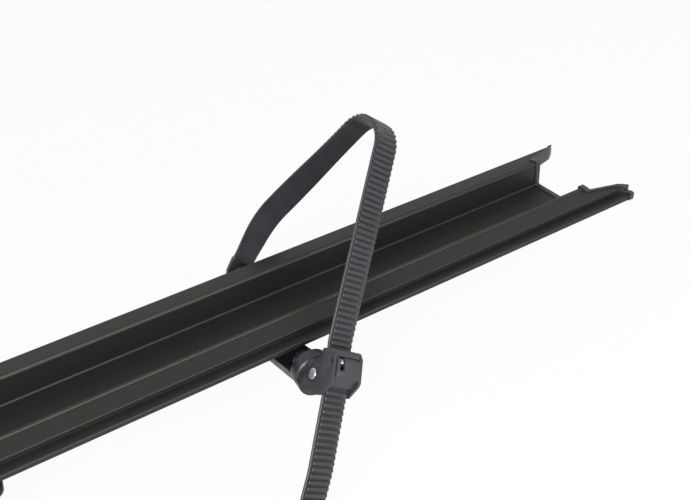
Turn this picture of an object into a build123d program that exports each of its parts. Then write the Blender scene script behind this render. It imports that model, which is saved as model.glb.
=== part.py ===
from build123d import *
import math
import os

# Roof mounted bike carrier: a hat-section wheel tray on two saddles, a strap set for each
# wheel and an upright arm whose clamp holds the frame.
# Millimetres. +X runs along the tray to its tail, -Y is the buckle side and +Z is up.
# The origin is the middle of the front saddle's rubber seat, where it lies on the crossbar.

# Fits shared by all pieces
run_clear = 0.05        # radial, pins and screws in their holes
fit_gap = 0.3           # between pieces that move past each other
face_gap = 0.1          # between flat faces of a sliding piece and its guide
overrun = 2.0           # how far a cut runs past the solid

# Tray extrusion, heights measured from the channel floor
tray_length = 1426.0
tray_front_x = -134.0
sheet = 2.2
floor_half = 33.6
floor_round = 2.0
ridge_rise = 29.5
wall_lean = 0.6
crest_width = 4.6
crest_inner_round = 3.6
crest_round = 1.0
bead_step = 0.9
bead_drop = 1.3
wing_end_half = 57.5
wing_fall = 1.6
wing_tip_thick = 1.6
recess_depth = 3.0
edge_drop = 7.0
lip_width = 8.1
lip_fall = 0.8
lip_drop = 4.6
lip_thick = 1.8
lip_round = 1.1
port_outer = 4.2
port_bore = 1.7
port_below_wing = 0.4

# Ends of the tray in plan: the wings run past the channel as two ears
ear_long = 42.0
ear_root_clear = 0.2
ear_knee_back = 11.0
ear_knee_share = 0.48
ear_nose_flat = 6.1
ear_knee_round = 8.0
ear_nose_share = 0.4
ear_tip_share = 0.6

# Slot under the floor, for the T nuts
slot_outer_half = 14.6
slot_inner_half = 12.2
slot_neck_half = 4.5
slot_depth = 12.0
slot_lip = 2.6

# Saddles and the crossbar bolt
bar_spacing = 600.0
saddle_length = 84.0
saddle_width = 64.0
saddle_height = 16.0
saddle_round = 7.0
saddle_edge = 1.5
pad_thick = 4.0
pad_margin = 2.0
tray_bolt_offset = 28.0
bar_bolt_lip = 3.0
bar_bolt_half = 22.6
bar_bolt_spare = 1.6
bar_head_length = 24.0
bar_head_width = 19.5
bar_head_thick = 5.0

# Screws and nuts
m8_radius = 4.0
m8_head = 6.6
m8_head_high = 5.0
m8_nut_flats = 13.0
m8_nut_high = 6.5
m6_radius = 3.0
m6_head = 5.2
m6_head_high = 3.3
m10_radius = 5.0
m10_flats = 17.0
m10_nut_high = 8.0
m10_head_high = 6.4
socket_share = 0.5
tnut_length = 20.0
tnut_height = 6.0

# End caps
cap_plate = 6.0
cap_rim = 0.9
cap_spigot = 12.0
cap_screw_length = 20.0
cap_screw_head = 3.4
cap_screw_high = 2.2

# Strap sets: a leaning loop, and below and beside its foot the axis that it swivels on
rear_set_behind_bar = 307.4
front_set_before_arm = 102.4
set_tilt = 40.0
loop_rise = 7.7
swivel_across = 2.4
swivel_below = 5.8
crossarm_width = 32.0
crossarm_thick = 9.0
crossarm_flat_half = 44.0
crossarm_slope = 25.0
crossarm_lead = 20.0
crossarm_trail = 11.0
crossarm_plain_half = 27.0
boss_clear = 1.6
boss_long = 9.5
boss_radius = 10.0

# Knuckle that swivels on the near boss, in the loop's own upright frame
flange_radius = 18.0
flange_thick = 13.0
drum_thick = 6.0
flange_edge = 1.6
fork_half = 12.8
fork_slot_half = 6.8
fork_nose = 8.8
rivet_beyond = 8.5
rivet_rise = 3.0
rivet_radius = 3.2
rivet_head = 4.8
rivet_head_high = 2.4
stud_head = 7.0
stud_head_high = 4.4
thread_depth = 14.0

# Ladder strap: its middle line in the loop's plane, heights above the loop's foot
strap_width = 25.0
strap_thick = 4.5
tooth_width = 22.0
tooth_height = 2.2
tooth_pitch = 5.0
tooth_flank_share = 0.14
tooth_land_share = 0.62
strap_far_out = 10.3
far_bend_rise = 56.0
arch_half = 20.0
arch_rise = 199.0
arch_radius = 27.0
buckle_in_before = 5.0
buckle_in_rise = 34.0
buckle_out_beyond = 19.0
buckle_out_rise = 2.0
tail_bend_beyond = 51.0
tail_bend_drop = 54.0
tail_tip_beyond = 74.5
tail_tip_drop = 108.0
strap_bend = 60.0
tooth_start = 30.0
tooth_stop = 16.0
eye_radius = 14.0

# Buckle, along the strap (s) and outward from its middle line (n)
buckle_shift = 2.4
cheek_thick = 2.4
cheek_gap_half = 12.9
cheek_in = 5.0
cheek_long = 37.5
cheek_high = 12.4
cheek_low = 9.0
cheek_edge = 0.8
plate_thick = 2.5
plate_clear = 0.45
tongue_half = 6.4
tongue_eye = 6.8
lever_pin_s = 15.5
lever_pin_n = 9.3
lever_pin_radius = 1.8
lever_half = 12.5
lever_plate = 2.4
lever_top = 13.6
bridge_top = 10.2
lever_bend = 27.0
lever_end_s = 35.5
lever_end_n = 5.4
lever_arm_thick = 3.0
finger_half = 4.4
finger_reach = 6.7
finger_step = 3.0
spring_slot_low = 4.8
spring_slot_high = 9.4
spring_outer = 2.9
pawl_pin_s = 26.0
pawl_pin_n = 6.0
pawl_pin_radius = 1.4
pawl_hub = 2.5
pawl_half = 12.4
pin_recess = 0.4
pawl_notch_half = 5.2
pawl_tip_s = 20.6
pawl_tab_s = 29.4

# Upright arm and its base
arm_before_bar = 90.0
base_length = 48.0
base_thick = 6.0
base_reach = 142.0
base_rim = 1.0
base_near = 40.0
base_bolt_offset = 14.0
lug_thick = 6.0
lug_gap = 20.0
lug_half = 20.0
pivot_rise = 8.0
foot_half = 15.0
foot_socket = 34.0
foot_height = 74.0
tube_radius = 13.0
tube_wall = 2.0
tube_bend = 60.0
grip_rise = 520.0

# Frame clamp at the top of the arm, heights from the middle of the gripped tube
body_near = 46.0
body_far = 82.0
body_half = 18.0
body_low = 44.0
body_high = 52.0
jaw_open = 34.0
jaw_thick = 12.0
jaw_reach = 26.0
jaw_half = 15.0
jaw_hook = 12.0
pad_rubber = 5.0
guide_half = 9.0
guide_depth = 10.0
guide_start = 54.0
screw_radius = 4.0
screw_top = 74.0
knob_radius = 19.0
knob_high = 20.0
knob_lobes = 6
knob_lobe_radius = 5.0
knob_seat = 2.0
edge_soft = 2.0
lock_radius = 7.0
lock_depth = 8.0
lock_proud = 2.0
key_slot_width = 1.4
key_slot_long = 8.0

# Levels that follow from the sizes above
slot_bottom = -(sheet + slot_depth)
floor_z = pad_thick + saddle_height - slot_bottom
under_tray_z = floor_z + slot_bottom
nut_seat_z = under_tray_z + slot_lip
tray_tail_x = tray_front_x + tray_length
arm_x = bar_spacing - arm_before_bar
front_set_x = arm_x - front_set_before_arm
rear_set_x = bar_spacing + rear_set_behind_bar
wing_top = ridge_rise - bead_drop
lip_half = wing_end_half + lip_width
lip_level = wing_top - wing_fall - edge_drop
lip_low = lip_level - lip_fall - lip_drop
port_out = floor_half + sheet - wall_lean + port_outer - port_below_wing
ear_root_half = port_out + port_outer + ear_root_clear
ear_nose_half = lip_half + cap_rim - ear_nose_flat
ear_knee_half = ear_root_half + (ear_nose_half - ear_root_half) * ear_knee_share
lean = math.radians(set_tilt)
loop_z = floor_z + loop_rise
axis_drop = swivel_across * math.sin(lean) + swivel_below * math.cos(lean)
axis_shift = swivel_across * math.cos(lean) - swivel_below * math.sin(lean)
axis_z = loop_z - axis_drop
boss_start = lip_half + boss_clear
near_boss_end = boss_start + boss_long
flange_start = near_boss_end + fit_gap
flange_end = flange_start + flange_thick
drum_end = flange_end + drum_thick
rivet_y = drum_end + rivet_beyond
strap_far_y = near_boss_end + strap_far_out
buckle_in_y = rivet_y - buckle_in_before
buckle_out_y = rivet_y + buckle_out_beyond
lever_hub = lever_top - lever_pin_n
lug_gap_end = base_reach - base_rim - lug_thick
lug_gap_start = lug_gap_end - lug_gap
cap_screw_bore = port_bore + run_clear
pivot_z = floor_z + pivot_rise
grip_z = floor_z + grip_rise


def outline(corners):
    """A closed face through corners given as (x, y, corner radius)."""
    places = [(x, y) for x, y, _ in corners]
    return make_face(FilletPolyline(*places, radius=[r for _, _, r in corners], close=True))


def plank(face, half):
    """A face drawn in (y, z), given its width evenly on both sides along x."""
    return extrude(Plane.YZ * face, amount=half, both=True)


def slab(face, low, high):
    """A face drawn in (y, z), filled from x = low to x = high."""
    return extrude(Plane.YZ.offset(low) * face, amount=high - low)


def rod(radius, start, end):
    """A round bar from one point to another."""
    axis = Vector(end) - Vector(start)
    ends = (Align.CENTER, Align.CENTER, Align.MIN)
    return Plane(origin=start, z_dir=axis) * Cylinder(radius, axis.length, align=ends)


def block(low, high):
    """A box between two opposite corners."""
    size = Vector(high) - Vector(low)
    return Pos(*low) * Box(size.X, size.Y, size.Z, align=(Align.MIN, Align.MIN, Align.MIN))


def hex_bar(flats, start, end):
    """A six-sided bar from one point to another."""
    axis = Vector(end) - Vector(start)
    face = RegularPolygon(flats / 2, 6, major_radius=False)
    return extrude(Plane(origin=start, z_dir=axis) * face, amount=axis.length)


def disc(x, y, radius):
    """A round face at a place in the drawing plane."""
    return Pos(x, y) * Circle(radius)


def socket_screw(radius, head, head_high, seat, tip):
    """A screw with a round head below its seat and a hexagon socket in the head."""
    axis = (Vector(tip) - Vector(seat)).normalized()
    top = Vector(seat) - axis * head_high
    depth = head_high * socket_share
    body = rod(radius, seat, tip) + rod(head, top, seat)
    return body - hex_bar(head * 2 * socket_share, top - axis * overrun, top + axis * depth)


def tray_section():
    """The tray's half section, drawn in (y, z) from the channel floor, and its mirror image."""
    wall_top = floor_half - wall_lean
    crest_out = wall_top + crest_width
    wing_start = crest_out + bead_step
    wing_edge = wing_top - wing_fall
    recess = wing_end_half - recess_depth
    lip_edge = lip_level - lip_fall
    half = outline([
        (0, 0, 0),
        (floor_half, 0, floor_round),
        (wall_top, ridge_rise, crest_inner_round),
        (crest_out, ridge_rise, crest_round),
        (wing_start, wing_top, 0),
        (wing_end_half, wing_edge, wing_tip_thick / 2),
        (wing_end_half, wing_edge - wing_tip_thick, 0),
        (recess, wing_edge - wing_tip_thick, 0),
        (recess, lip_level, 0),
        (lip_half, lip_edge, lip_round),
        (lip_half, lip_low, 0),
        (lip_half - lip_thick, lip_low, 0),
        (lip_half - lip_thick, lip_edge - lip_thick, 0),
        (recess - lip_thick, lip_level - lip_thick, 0),
        (recess - lip_thick, wing_edge - lip_thick, 0),
        (wing_start, wing_top - sheet, 0),
        (floor_half + sheet - wall_lean, wing_top - sheet, 0),
        (floor_half + sheet, -sheet, floor_round + sheet),
        (slot_outer_half, -sheet, 0),
        (slot_outer_half, slot_bottom, 0),
        (slot_neck_half, slot_bottom, 0),
        (slot_neck_half, slot_bottom + slot_lip, 0),
        (slot_inner_half, slot_bottom + slot_lip, 0),
        (slot_inner_half, -sheet, 0),
        (0, -sheet, 0),
    ])
    port_y, port_z = port_place()
    half += disc(port_y, port_z, port_outer)
    half -= disc(port_y, port_z, port_bore)
    return half + mirror(half, about=Plane.YZ)


def port_place():
    """The place of the screw port in the corner below the wing, from the channel floor."""
    return port_out, wing_top - sheet - port_outer + port_below_wing


def tray_plan(beyond):
    """The tray seen from above, its ends moved outward, filled through its whole height."""
    half = []
    for end_x, way in ((tray_tail_x + beyond, 1), (tray_front_x - beyond, -1)):
        corners = [
            (end_x - way * ear_long, 0, 0),
            (end_x - way * ear_long, ear_root_half, 0),
            (end_x - way * ear_knee_back, ear_knee_half, ear_knee_round),
            (end_x, ear_nose_half, ear_nose_flat * ear_nose_share),
            (end_x, lip_half + cap_rim, ear_nose_flat * ear_tip_share),
        ]
        half += corners if way > 0 else reversed(corners)
    face = outline(half)
    face = face + mirror(face, about=Plane.XZ)
    return Pos(0, 0, floor_z) * extrude(face, amount=floor_z * 2, both=True)


def tray_extrusion():
    """The aluminium tray."""
    section = Pos(0, floor_z) * tray_section()
    return slab(section, tray_front_x, tray_tail_x) & tray_plan(0)


def cap_outline(rim):
    """The cap's outer shape, one rim wider than the tray all round, drawn in (y, z)."""
    wing_edge = wing_top - wing_fall
    wall_top = floor_half - wall_lean
    half = outline([
        (0, rim, 0),
        (floor_half - rim, rim, floor_round),
        (wall_top - rim, ridge_rise + rim, crest_round),
        (wall_top + crest_width, ridge_rise + rim, crest_round),
        (wing_end_half + rim, wing_edge + rim, lip_round),
        (wing_end_half + rim, lip_level + rim, lip_round),
        (lip_half + rim, lip_level - lip_fall + rim, lip_round),
        (lip_half + rim, lip_low - rim, lip_round),
        (floor_half + sheet + port_outer * 2, lip_low - rim, floor_round),
        (floor_half + sheet, -sheet - rim, floor_round),
        (slot_outer_half + rim, slot_bottom - rim, lip_round),
        (0, slot_bottom - rim, 0),
    ])
    return Pos(0, floor_z) * (half + mirror(half, about=Plane.YZ))


def cap_seat(way):
    """Where the channel ends at one end of the tray, and the cap's flat part starts."""
    return (tray_tail_x if way > 0 else tray_front_x) - way * ear_long


def end_cap(way):
    """A moulded cap that closes the wings' hollows and the slot at one end of the tray."""
    seat = cap_seat(way)
    low, high = sorted((seat, seat + way * (ear_long + cap_plate)))
    cap = slab(cap_outline(cap_rim), low, high) & (tray_plan(cap_plate) - tray_plan(0))
    low, high = sorted((seat - way * cap_spigot, seat))
    half = slot_inner_half - fit_gap
    cap += block(
        (low, -half, nut_seat_z + fit_gap),
        (high, half, floor_z - sheet - fit_gap),
    )
    face = seat + way * cap_plate
    port_y, port_z = port_place()
    for side in (-1, 1):
        hole = (side * port_y, floor_z + port_z)
        out = (face + way * overrun, *hole)
        cap -= rod(cap_screw_bore, (seat - way * overrun, *hole), out)
        cap -= rod(cap_screw_head + fit_gap, (face - way * cap_screw_high, *hole), out)
    return cap


def cap_screws():
    """The four self-tapping screws of the end caps."""
    port_y, port_z = port_place()
    screws = []
    for way in (1, -1):
        face = cap_seat(way) + way * cap_plate
        for side in (-1, 1):
            place = (side * port_y, floor_z + port_z)
            seat = (face - way * cap_screw_high, *place)
            tip = (cap_seat(way) - way * cap_screw_length, *place)
            shank = port_bore - run_clear
            screws.append(socket_screw(shank, cap_screw_head, cap_screw_high, seat, tip))
    return Compound(children=screws)


def t_nut(x, length, radius):
    """A plain T nut in the slot under the floor, with its threaded hole."""
    half = slot_inner_half - fit_gap * 2
    low = nut_seat_z + face_gap
    nut = block((x - length / 2, -half, low), (x + length / 2, half, low + tnut_height))
    nut = chamfer(nut.edges().filter_by(Axis.Z), edge_soft)
    bore = radius + run_clear
    return nut - rod(bore, (x, 0, low - overrun), (x, 0, low + tnut_height + overrun))


def saddle(x):
    """One saddle's pieces: the cast block, its rubber pad, and the bolts up and down."""
    top = under_tray_z - face_gap
    half_x, half_y = saddle_length / 2, saddle_width / 2
    body = block((x - half_x, -half_y, pad_thick), (x + half_x, half_y, top))
    body = fillet(body.edges().filter_by(Axis.Z), saddle_round)
    body = chamfer(body.faces().sort_by(Axis.Z)[-1].outer_wire().edges(), saddle_edge)
    pad = block(
        (x - half_x - pad_margin, -half_y - pad_margin, 0),
        (x + half_x + pad_margin, half_y + pad_margin, pad_thick),
    )
    pad = fillet(pad.edges().filter_by(Axis.Z), saddle_round + pad_margin)
    bolt_places = [x - tray_bolt_offset, x + tray_bolt_offset]
    head_room = m6_head_high + fit_gap * 2
    tray_bolts, tray_nuts = [], []
    for place in bolt_places:
        body -= rod(m6_radius + run_clear, (place, 0, 0), (place, 0, top + overrun))
        body -= rod(m6_head + fit_gap, (place, 0, 0), (place, 0, pad_thick + head_room))
        seat = (place, 0, pad_thick + head_room)
        tip = (place, 0, nut_seat_z + face_gap + tnut_height)
        tray_bolts.append(socket_screw(m6_radius, m6_head, m6_head_high, seat, tip))
        tray_nuts.append(t_nut(place, tnut_length, m6_radius))
    head_top = -bar_bolt_lip
    nut_top = top + m8_nut_high
    bar_bolts, bar_nuts = [], []
    for place in ((x, -bar_bolt_half), (x, bar_bolt_half)):
        body -= rod(m8_radius + run_clear, (*place, 0), (*place, top + overrun))
        pad -= rod(m8_radius + fit_gap, (*place, -overrun), (*place, pad_thick + overrun))
        bolt = rod(m8_radius, (*place, head_top), (*place, nut_top + bar_bolt_spare))
        half_x, half_y = bar_head_width / 2, bar_head_length / 2
        head = block(
            (x - half_x, place[1] - half_y, head_top - bar_head_thick),
            (x + half_x, place[1] + half_y, head_top),
        )
        bar_bolts.append(bolt + chamfer(head.edges().filter_by(Axis.Z), edge_soft))
        nut = hex_bar(m8_nut_flats, (*place, top), (*place, nut_top))
        bore = m8_radius + run_clear
        bar_nuts.append(nut - rod(bore, (*place, top - overrun), (*place, nut_top + overrun)))
    return {
        "saddle_body": body,
        "saddle_pad": pad,
        "saddle_tray_bolts": Compound(children=tray_bolts),
        "saddle_t_nuts": Compound(children=tray_nuts),
        "crossbar_t_bolts": Compound(children=bar_bolts),
        "crossbar_nuts": Compound(children=bar_nuts),
    }


def crossarm(x, side):
    """The moulded arm under the tray that carries one strap set, with a boss at each end."""
    top = slot_bottom - face_gap
    low = top - crossarm_thick
    under_boss = axis_z - floor_z - boss_radius
    slope = math.tan(math.radians(crossarm_slope))
    half = outline([
        (0, top, 0),
        (crossarm_flat_half, top, crossarm_thick),
        (boss_start, top + (boss_start - crossarm_flat_half) * slope, 0),
        (near_boss_end, top + (boss_start - crossarm_flat_half) * slope, 0),
        (near_boss_end, under_boss, 0),
        (near_boss_end - (under_boss - low) / slope, low, crossarm_thick),
        (0, low, 0),
    ])
    arm = plank(Pos(0, floor_z) * (half + mirror(half, about=Plane.YZ)), crossarm_width)
    lead, trail, even = -side * crossarm_lead, side * crossarm_trail, crossarm_width / 2
    plan = outline([
        (lead, 0, 0),
        (lead, crossarm_plain_half, crossarm_thick),
        (-side * even, crossarm_flat_half, crossarm_thick),
        (-side * even, drum_end, 0),
        (side * even, drum_end, 0),
        (side * even, crossarm_flat_half, crossarm_thick),
        (trail, crossarm_plain_half, crossarm_thick),
        (trail, 0, 0),
    ])
    plan = plan + mirror(plan, about=Plane.XZ)
    arm = arm & extrude(plan, amount=floor_z * 2, both=True)
    arm = Pos(x, 0, 0) * arm
    far_end = strap_far_y - strap_thick / 2 - fit_gap
    arm += rod(boss_radius, (x, -boss_start, axis_z), (x, -near_boss_end, axis_z))
    arm += rod(boss_radius, (x, boss_start, axis_z), (x, far_end, axis_z))
    bore = m8_radius + run_clear
    reach = boss_start - thread_depth / 2
    arm -= rod(bore, (x, -reach, axis_z), (x, -near_boss_end - overrun, axis_z))
    arm -= rod(bore, (x, reach, axis_z), (x, far_end + overrun, axis_z))
    seat = floor_z + low + m8_head_high + fit_gap
    arm -= rod(bore, (x, 0, floor_z + low - overrun), (x, 0, floor_z + top + overrun))
    arm -= rod(m8_head + fit_gap, (x, 0, floor_z + low - overrun), (x, 0, seat))
    return arm


def crossarm_bolt(x):
    """The screw that clamps the crossarm to its T nut."""
    seat = (x, 0, under_tray_z - face_gap - crossarm_thick + m8_head_high + fit_gap)
    tip = (x, 0, nut_seat_z + face_gap + tnut_height)
    return socket_screw(m8_radius, m8_head, m8_head_high, seat, tip)


def swivel_stud(x):
    """The shouldered stud that the knuckle turns on, screwed into the near boss."""
    seat = (x, -flange_end - face_gap, axis_z)
    tip = (x, -(boss_start - thread_depth / 2), axis_z)
    return socket_screw(m8_radius, stud_head, stud_head_high, seat, tip)


def anchor_screw(x):
    """The screw that holds the strap's eye against the far boss and lets it swivel."""
    seat = (x, strap_far_y + strap_thick / 2 + face_gap, axis_z)
    tip = (x, boss_start - thread_depth / 2, axis_z)
    return socket_screw(m8_radius, stud_head, stud_head_high, seat, tip)


def swivel_knuckle(side):
    """The round flange and fork that turn on the stud, in the loop's upright frame."""

    def on_axis(y):
        return (side * swivel_across, y, -swivel_below)

    knuckle = rod(flange_radius, on_axis(-flange_start), on_axis(-flange_end))
    knuckle = chamfer(knuckle.edges().filter_by(GeomType.CIRCLE), flange_edge)
    neck = rod(flange_radius, on_axis(-flange_end), on_axis(-drum_end))
    neck += plank(disc(-rivet_y, rivet_rise, fork_nose), flange_radius)
    neck += block(
        (-flange_radius, -rivet_y, rivet_rise - fork_nose),
        (flange_radius, -drum_end, rivet_rise + fork_nose),
    )
    reach = flange_radius * 2
    keep = block((-fork_half, -rivet_y - reach, -reach), (fork_half, -flange_end, reach))
    knuckle += neck & keep
    knuckle -= block(
        (-fork_slot_half, -rivet_y - reach, -reach),
        (fork_slot_half, -drum_end, reach),
    )
    knuckle -= rod(m8_radius + run_clear, on_axis(-flange_start + overrun), on_axis(-drum_end))
    knuckle -= rod(stud_head + fit_gap, on_axis(-flange_end), on_axis(-drum_end - flange_radius))
    hole = (-rivet_y, rivet_rise)
    return knuckle - rod(rivet_radius + run_clear, (-reach, *hole), (reach, *hole))


def buckle_rivet():
    """The bright rivet through the fork and the buckle's tongue."""
    hole = (-rivet_y, rivet_rise)
    out = fork_half + face_gap
    rivet = rod(rivet_radius, (-out, *hole), (out, *hole))
    for side in (-1, 1):
        head = rod(rivet_head, (side * out, *hole), (side * (out + rivet_head_high), *hole))
        rim = head.edges().filter_by(GeomType.CIRCLE).sort_by(Axis.X)[-1 if side > 0 else 0]
        rivet += fillet(rim, rivet_head_high * 2 / 3)
    return rivet


def strap_line():
    """The strap's middle line, from the eye on the far side to the tip of the tail."""
    places = [
        (strap_far_y, 0, 0),
        (strap_far_y, far_bend_rise, strap_bend),
        (arch_half, arch_rise, arch_radius),
        (-arch_half, arch_rise, arch_radius),
        (-buckle_in_y, buckle_in_rise, strap_bend / 2),
        (-buckle_out_y, buckle_out_rise, strap_bend / 2),
        (-rivet_y - tail_bend_beyond, -tail_bend_drop, strap_bend),
        (-rivet_y - tail_tip_beyond, -tail_tip_drop, 0),
    ]
    corners = [(y, z) for y, z, _ in places]
    return FilletPolyline(*corners, radius=[r for _, _, r in places[1:-1]])


def ladder_strap(side):
    """The toothed strap: a plain band with a narrower row of teeth on its outer face."""
    line = strap_line()
    band_thick = strap_thick - tooth_height
    inner = -strap_thick / 2
    count = int((line.length - tooth_start - tooth_stop) / tooth_pitch)

    def beside(along, out):
        share = along / line.length
        place, way = line @ share, line % share
        return (place.X + way.Y * out, place.Y - way.X * out)

    root, tip = inner + band_thick, -inner
    teeth, back = [], []
    for tooth in range(count):
        start = tooth_start + tooth * tooth_pitch
        flank = tooth_pitch * tooth_flank_share
        land = flank + tooth_pitch * tooth_land_share
        teeth.append(beside(start, root))
        teeth.append(beside(start + flank, tip))
        teeth.append(beside(start + land, tip))
        teeth.append(beside(start + land + flank, root))
        back.append(beside(start, inner + band_thick / 2))
    stop = tooth_start + count * tooth_pitch
    teeth.append(beside(stop, root))
    back.append(beside(stop, inner + band_thick / 2))
    ribs = make_face(Polyline(*teeth, *reversed(back), close=True))
    band = trace(line, line_width=strap_thick)
    steps = int(line.length / tooth_pitch)
    outer_line = [beside(line.length * step / steps, root) for step in range(steps + 1)]
    clear_line = [beside(line.length * step / steps, strap_thick) for step in range(steps + 1)]
    above = make_face(Polyline(*outer_line, *reversed(clear_line), close=True))
    strap = plank(band - above, strap_width / 2) + plank(ribs, tooth_width / 2)
    eye_x, eye_z = side * swivel_across, -swivel_below
    plate = make_face(Polyline(
        (-strap_width / 2, tooth_start),
        (strap_width / 2, tooth_start),
        (eye_x + eye_radius, eye_z),
        (eye_x - eye_radius, eye_z),
        close=True,
    ))
    plate += disc(eye_x, eye_z, eye_radius)
    plate -= disc(eye_x, eye_z, m8_radius + run_clear)
    outside = (0, strap_far_y + strap_thick / 2, 0)
    sheet_plane = Plane(origin=outside, x_dir=(1, 0, 0), z_dir=(0, -1, 0))
    strap += extrude(sheet_plane * plate, amount=strap_thick)
    bore = m8_radius + run_clear
    return strap - rod(bore, (eye_x, 0, eye_z), (eye_x, strap_far_y + strap_thick, eye_z))


def buckle_frame_place():
    """The buckle's own plane: x along the strap to its tail and y outward."""
    start = Vector(0, -buckle_in_y, buckle_in_rise)
    way = (Vector(0, -buckle_out_y, buckle_out_rise) - start).normalized()
    return Plane(origin=start + way * buckle_shift, x_dir=way, z_dir=(-1, 0, 0))


def rivet_in_buckle():
    """The rivet's place along the strap and out from its middle line."""
    spot = buckle_frame_place().to_local_coords(Vector(0, -rivet_y, rivet_rise))
    return (spot.X, spot.Y)


def across(face, low, high):
    """A face drawn in the buckle's own plane, filled from x = low to x = high."""
    return extrude(buckle_frame_place().offset(-high) * face, amount=high - low)


def buckle_pin(place, radius, low, high):
    """A round bar across the buckle at a place in its own plane."""
    return across(disc(*place, radius), low, high)


def buckle_frame():
    """The buckle's two cheeks, the plate behind the strap and the tongue to the rivet."""
    cheek_end = cheek_in + cheek_long
    slope = cheek_high / 2
    cheek = outline([
        (cheek_in, -slope / 2, cheek_edge),
        (cheek_in, slope, cheek_edge),
        (cheek_in + slope / 2, cheek_high - slope / 4, cheek_edge),
        (cheek_in + slope, cheek_high, cheek_edge),
        (cheek_end - slope * 2, cheek_high, cheek_edge),
        (cheek_end - slope * 3 / 2, cheek_high - slope / 4, cheek_edge),
        (cheek_end, 0, cheek_edge),
        (cheek_end, -cheek_low, cheek_edge),
        (cheek_end - slope / 2, -cheek_low - cheek_edge * 2, cheek_edge),
        (cheek_in + cheek_long * 3 / 5, -cheek_low, cheek_edge),
    ])
    out = cheek_gap_half + cheek_thick
    frame = across(cheek, cheek_gap_half, out) + across(cheek, -out, -cheek_gap_half)
    plate_top = -strap_thick / 2 - plate_clear
    plate = outline([
        (cheek_in + slope / 2, plate_top - plate_thick, 0),
        (cheek_in + slope / 2, plate_top, 0),
        (cheek_end - slope / 2, plate_top, 0),
        (cheek_end - slope / 2, plate_top - plate_thick, 0),
    ])
    overlap = cheek_thick / 2
    frame += across(plate, -cheek_gap_half - overlap, cheek_gap_half + overlap)
    bridge_end = lever_pin_s - lever_hub - fit_gap
    bridge = outline([
        (cheek_in, bridge_top - lever_plate * 3 / 2, 0),
        (cheek_in + lever_plate / 2, bridge_top, cheek_edge),
        (bridge_end, bridge_top, 0),
        (bridge_end, bridge_top - lever_plate, 0),
        (bridge_end - lever_plate, bridge_top - lever_plate * 3 / 2, 0),
    ])
    frame += across(bridge, -out, out)
    rivet_s, rivet_n = rivet_in_buckle()
    tongue = outline([
        (rivet_s - tongue_eye, rivet_n, 0),
        (rivet_s - tongue_eye, plate_top - plate_thick / 2, 0),
        (rivet_s + tongue_eye, plate_top - plate_thick / 2, 0),
        (rivet_s + tongue_eye, rivet_n, 0),
    ])
    tongue += disc(rivet_s, rivet_n, tongue_eye)
    frame += across(tongue, -tongue_half, tongue_half)
    far = out + overrun
    frame -= buckle_pin((rivet_s, rivet_n), rivet_radius + run_clear, -tongue_half * 2, far)
    frame -= buckle_pin((lever_pin_s, lever_pin_n), lever_pin_radius + run_clear, -far, far)
    blind = cheek_gap_half + overlap + face_gap
    return frame - buckle_pin((pawl_pin_s, pawl_pin_n), pawl_pin_radius + run_clear, -blind, blind)


def ratchet_lever():
    """The cover lever, folded down over the strap, with its hub and drive finger."""
    skin = outline([
        (lever_pin_s, lever_top - lever_plate, 0),
        (lever_pin_s, lever_top, 0),
        (lever_bend, lever_top, lever_plate * 3),
        (lever_end_s, lever_end_n, lever_plate / 3),
        (lever_end_s - lever_plate / 2, lever_end_n - lever_plate, lever_plate / 3),
        (lever_bend - lever_plate / 2, lever_top - lever_plate, lever_plate * 2),
    ])
    lever = across(skin, -lever_half, lever_half)
    hub = disc(lever_pin_s, lever_pin_n, lever_hub)
    lever += across(hub, -lever_half, -lever_half + lever_arm_thick)
    lever += across(hub, -spring_slot_low, lever_half)
    finger = outline([
        (lever_pin_s - lever_hub / 2, lever_pin_n, 0),
        (lever_pin_s + lever_hub * 3 / 4, lever_pin_n, 0),
        (lever_pin_s + finger_step + lever_plate / 2, lever_pin_n - finger_reach, 0),
        (lever_pin_s + finger_step - lever_plate / 2, lever_pin_n - finger_reach, 0),
    ])
    lever += across(finger, -finger_half, finger_half)
    window = outline([
        (lever_pin_s - lever_hub - overrun, lever_pin_n, 0),
        (lever_pin_s - lever_hub - overrun, lever_top + overrun, 0),
        (lever_pin_s + lever_hub + lever_plate, lever_top + overrun, 0),
        (lever_pin_s + lever_hub + lever_plate, lever_pin_n, 0),
    ])
    lever -= across(window, -spring_slot_high, -spring_slot_low)
    bore = lever_pin_radius + run_clear
    return lever - buckle_pin((lever_pin_s, lever_pin_n), bore, -lever_half * 2, lever_half * 2)


def lever_spring():
    """The lever's torsion spring as the closed sleeve of its coils, on the lever pin."""
    place = (lever_pin_s, lever_pin_n)
    low = -spring_slot_high + face_gap
    high = -spring_slot_low - face_gap
    sleeve = buckle_pin(place, spring_outer, low, high)
    return sleeve - buckle_pin(place, lever_pin_radius + run_clear, low - overrun, high + overrun)


def cross_pin(place, radius, sink):
    """A plain pin across both cheeks, its ends sunk below their outer faces."""
    out = cheek_gap_half + cheek_thick - sink
    return buckle_pin(place, radius, -out, out)


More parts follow.
